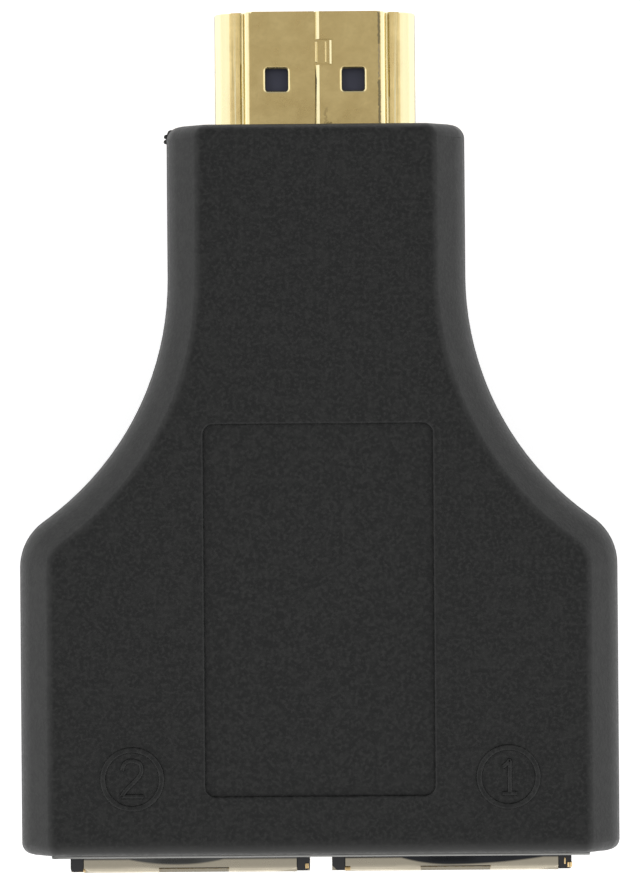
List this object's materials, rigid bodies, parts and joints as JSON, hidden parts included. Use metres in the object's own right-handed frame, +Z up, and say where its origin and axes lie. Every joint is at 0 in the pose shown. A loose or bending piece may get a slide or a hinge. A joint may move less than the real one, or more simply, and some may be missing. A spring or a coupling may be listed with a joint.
{
  "type": "hdmi extender",
  "caption": "Video extender end unit: a black moulded housing flares from a gold-plated plug at its neck to shielded modular jacks side by side at its wide end.",
  "frame": {"origin": "under the middle of the part, on the flat outside of the rear cover, which it lies on", "axes": "+Y along the part towards the plug's tip, +Z up through the front cover's face with the recess and the numbered rings, +X across to the jack numbered 1"},
  "size_m": [0.0406, 0.0586, 0.0176],
  "materials": {
    "housing": "fine spark-eroded texture",
    "plug_plating": "satin gold plating on stamped sheet",
    "contact_plating": "bright gold plating",
    "insulator": "smooth moulded",
    "jack_plating": "nickel-plated sheet, slightly warm",
    "board": "solder mask",
    "capacitor": "fired ceramic",
    "resistor": "glazed"
  },
  "bodies": {
    "adapter": {"front_cover": "housing", "rear_cover": "housing", "circuit_board": "board", "plug_shell": "plug_plating", "plug_nose": "insulator", "plug_rear_block": "insulator", "plug_upper_contacts": "contact_plating", "plug_lower_contacts": "contact_plating", "chip_capacitors": "capacitor", "chip_resistors": "resistor", "port_1_shield": "jack_plating", "port_1_back_plate": "jack_plating", "port_1_housing": "insulator", "port_1_contact_insert": "insulator", "port_1_contact_tails": "contact_plating", "port_2_shield": "jack_plating", "port_2_back_plate": "jack_plating", "port_2_housing": "insulator", "port_2_contact_insert": "insulator", "port_2_contact_tails": "contact_plating"},
    "port_1_springs": {"port_1_contact_springs": "contact_plating"},
    "port_2_springs": {"port_2_contact_springs": "contact_plating"}
  },
  "joints": [
    {"name": "port_1_contact_flex", "type": "hinge", "parent": "adapter", "child": "port_1_springs", "pos_m": [0.00885, -0.02419, 0.0128], "axis": [1, 0, 0], "range_deg": [0, 11.5], "stiffness_Nm_per_rad": 0.27},
    {"name": "port_2_contact_flex", "type": "hinge", "parent": "adapter", "child": "port_2_springs", "pos_m": [-0.00885, -0.02419, 0.0128], "axis": [1, 0, 0], "range_deg": [0, 11.5], "stiffness_Nm_per_rad": 0.27}
  ]
}
